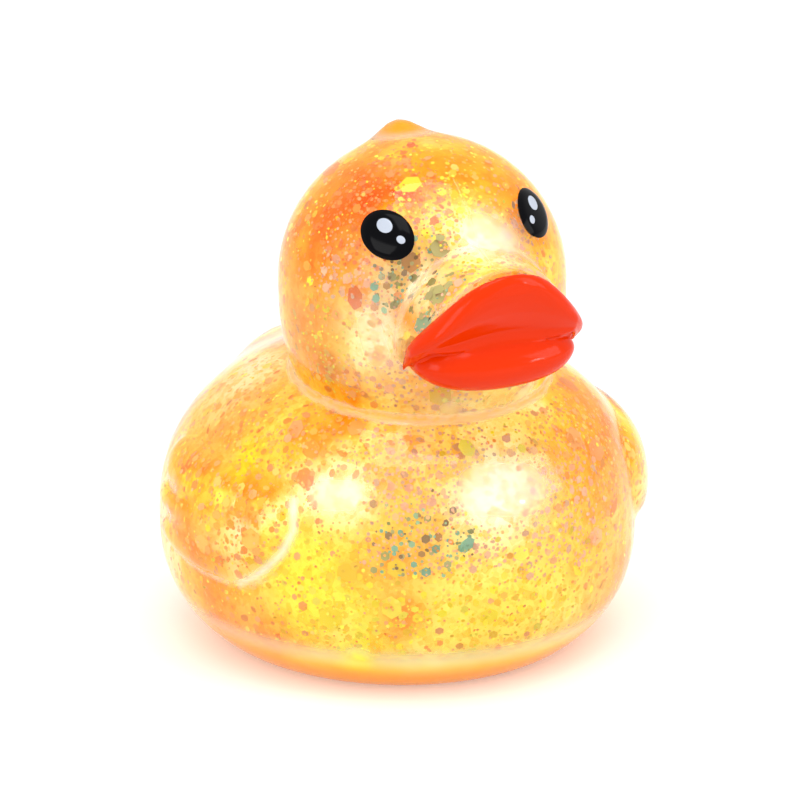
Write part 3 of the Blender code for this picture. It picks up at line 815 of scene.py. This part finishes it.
def makeBill():
    bill = copyOfNode("skin", "billPaint")
    middle = billLook["middle"]
    selectFaces(bill, lambda place: liquidTree.find_nearest(place, skinLook["innerReach"])[0] is not None)
    bpy.ops.mesh.delete(type="FACE")
    cuts = [
        ((0.0, 0.0, billLook["low"]), (0.0, 0.0, -1.0)),
        ((0.0, 0.0, billLook["high"]), (0.0, 0.0, 1.0)),
        ((0.0, middle.y - billLook["behind"], 0.0), (0.0, 1.0, 0.0)),
    ]
    for place, outward in cuts:
        bpy.ops.mesh.select_all(action="SELECT")
        bpy.ops.mesh.bisect(plane_co=place, plane_no=outward, clear_outer=True, use_fill=True)
    bpy.ops.object.mode_set(mode="OBJECT")
    bpy.ops.mesh.primitive_uv_sphere_add(segments=96, ring_count=64, radius=1.0, location=middle)
    head = bpy.context.object
    head.scale = billLook["headReach"]
    bpy.ops.object.transform_apply(location=True, rotation=True, scale=True)
    applyModifier(bill, "BOOLEAN", operation="DIFFERENCE", solver="EXACT", object=head)
    bpy.data.objects.remove(head)
    remeshed(bill, billLook["voxel"], billLook["smoothing"])
    pick(bill)
    bpy.ops.object.mode_set(mode="EDIT")
    bpy.ops.mesh.select_all(action="SELECT")
    line = middle + Vector((0.0, -billLook["paintLine"], 0.0))
    bpy.ops.mesh.bisect(plane_co=line, plane_no=(0.0, 1.0, billLook["paintSlope"]), clear_outer=True,
                        use_fill=True)
    bpy.ops.mesh.select_all(action="SELECT")
    bpy.ops.transform.shrink_fatten(value=billLook["coat"])
    bpy.ops.mesh.dissolve_degenerate(threshold=billLook["tiny"])
    bpy.ops.object.mode_set(mode="OBJECT")
    bill.data.validate()
    for vert in bill.data.vertices:
        vert.co.y = max(vert.co.y, cadLow[1])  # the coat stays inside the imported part's box
    put(plainMaterial("redBillPaint", billLook["sockets"]), bill)
    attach(bill, "root")
    return bill


def tuckUnder(skin, coat):
    # the rubber lies a little under the paint that covers it, also in the crease of the mouth
    coatTree = treeOf(coat)
    skin.data.materials.append(coat.data.materials[0])
    middle = billLook["middle"]
    tuck = billLook["tuck"]
    places = []
    for vert in skin.data.vertices:
        moved = vert.co.copy()
        place, outward, _, _ = coatTree.find_nearest(vert.co, tuck["reach"])
        if place is not None and outward.dot(vert.normal) > tuck["facing"]:
            moved = place - outward * tuck["depth"]
        elif place is not None and middle.y - vert.co.y > billLook["paintLine"] + tuck["creaseStart"]:
            moved.y += tuck["creaseBack"] * (abs(vert.co.z - middle.z) < tuck["creaseHalf"])
        places.append(moved)
    for vert, place in zip(skin.data.vertices, places):
        vert.co = place
    for face in skin.data.polygons:
        back = middle.y - face.center.y - billLook["paintSlope"] * (face.center.z - middle.z)
        painted = back > billLook["paintLine"] + tuck["redStart"] and face.center.z > tuck["chin"]
        if painted and not face.material_index:
            face.material_index = 2


bill = makeBill()
tuckUnder(skin, bill)
print("stage: bill has", len(bill.data.polygons), "faces")


# Eyes: black ovals with two pale lights each

eyeLook = {
    "direction": Vector((11.27, -12.27, 11.66)).normalized(), "headMiddle": Vector((0.0, -9.9, 54.8)) * mm,
    "headRadius": 20.3 * mm, "halfLength": 4.3 * mm, "halfWidth": 3.3 * mm, "tilt": 32.0,
    "thick": 0.35 * mm, "lift": 0.15 * mm, "sides": 64, "rings": 5, "ringStep": 0.17, "edgePower": 6,
    "sink": 0.5 * mm, "smoothAngle": 50.0, "lightThick": 0.1 * mm, "lightLift": 0.45 * mm,
    "black": {"Base Color": (0.002, 0.002, 0.003, 1.0), "Roughness": 0.1, "Specular IOR Level": 0.08},
    "pale": {"Base Color": (0.50, 0.55, 0.64, 1.0), "Roughness": 0.35},
    "lights": [  # inward along the eye, up across it, half length, half width
        (0.95 * mm, 0.7 * mm, 1.35 * mm, 1.05 * mm), (-2.15 * mm, 0.6 * mm, 0.72 * mm, 0.56 * mm),
    ],
}


def eyeAxes(side):
    out = eyeLook["direction"].copy()
    out.x *= side
    level = Vector((0.0, 0.0, 1.0)).cross(out).normalized() * side
    upright = out.cross(level).normalized() * side
    tilt = math.radians(eyeLook["tilt"])
    longAxis = level * math.cos(tilt) + upright * math.sin(tilt)
    shortAxis = upright * math.cos(tilt) - level * math.sin(tilt)
    return out, longAxis, shortAxis


def ovalOnHead(name, side, along, across, halfLength, halfWidth, lift, thick):
    out, longAxis, shortAxis = eyeAxes(side)
    bpy.ops.mesh.primitive_circle_add(vertices=eyeLook["sides"], radius=1.0, fill_type="NGON")
    oval = bpy.context.object
    oval.name = name
    bpy.ops.object.mode_set(mode="EDIT")
    for ring in range(eyeLook["rings"]):
        bpy.ops.mesh.inset(thickness=eyeLook["ringStep"], depth=0.0)
    bpy.ops.mesh.poke()
    bpy.ops.object.mode_set(mode="OBJECT")
    middle = eyeLook["headMiddle"]
    reach = eyeLook["headRadius"]
    for vert in oval.data.vertices:
        sideways = longAxis * (along + vert.co.x * halfLength) + shortAxis * (across + vert.co.y * halfWidth)
        edge = min(1.0, vert.co.length)
        rise = lift + thick * math.sqrt(max(0.0, 1.0 - edge ** eyeLook["edgePower"]))
        vert.co = middle + (out * reach + sideways).normalized() * (reach + rise)
    pick(oval)
    bpy.ops.object.mode_set(mode="EDIT")
    bpy.ops.mesh.select_all(action="SELECT")
    bpy.ops.mesh.normals_make_consistent(inside=False)
    bpy.ops.object.mode_set(mode="OBJECT")
    applyModifier(oval, "SOLIDIFY", thickness=eyeLook["sink"], offset=-1.0)
    pick(oval)
    bpy.ops.object.shade_smooth_by_angle(angle=math.radians(eyeLook["smoothAngle"]))
    return oval


def makeEyes():
    black = plainMaterial("blackEyePrint", eyeLook["black"])
    pale = plainMaterial("paleEyePrint", eyeLook["pale"])
    for side, word in ((1.0, "Left"), (-1.0, "Right")):
        eye = ovalOnHead("eyePrint" + word, side, 0.0, 0.0, eyeLook["halfLength"], eyeLook["halfWidth"],
                         eyeLook["lift"], eyeLook["thick"])
        put(black, eye)
        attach(eye, "root")
        for index, (along, across, halfLength, halfWidth) in enumerate(eyeLook["lights"]):
            light = ovalOnHead(f"eyeLight{word}{index}", side, along, across, halfLength, halfWidth,
                               eyeLook["lightLift"], eyeLook["lightThick"])
            put(pale, light)
            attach(light, "root")


makeEyes()
print("stage: eyes are on")


# Plug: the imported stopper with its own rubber

plugLook = {"Base Color": (1.0, 0.55, 0.18, 1.0), "Roughness": 0.4}


def finishPlug():
    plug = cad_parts["filler_plug"]
    plug.data.materials.clear()
    put(plainMaterial("plugRubber", plugLook), plug)


finishPlug()
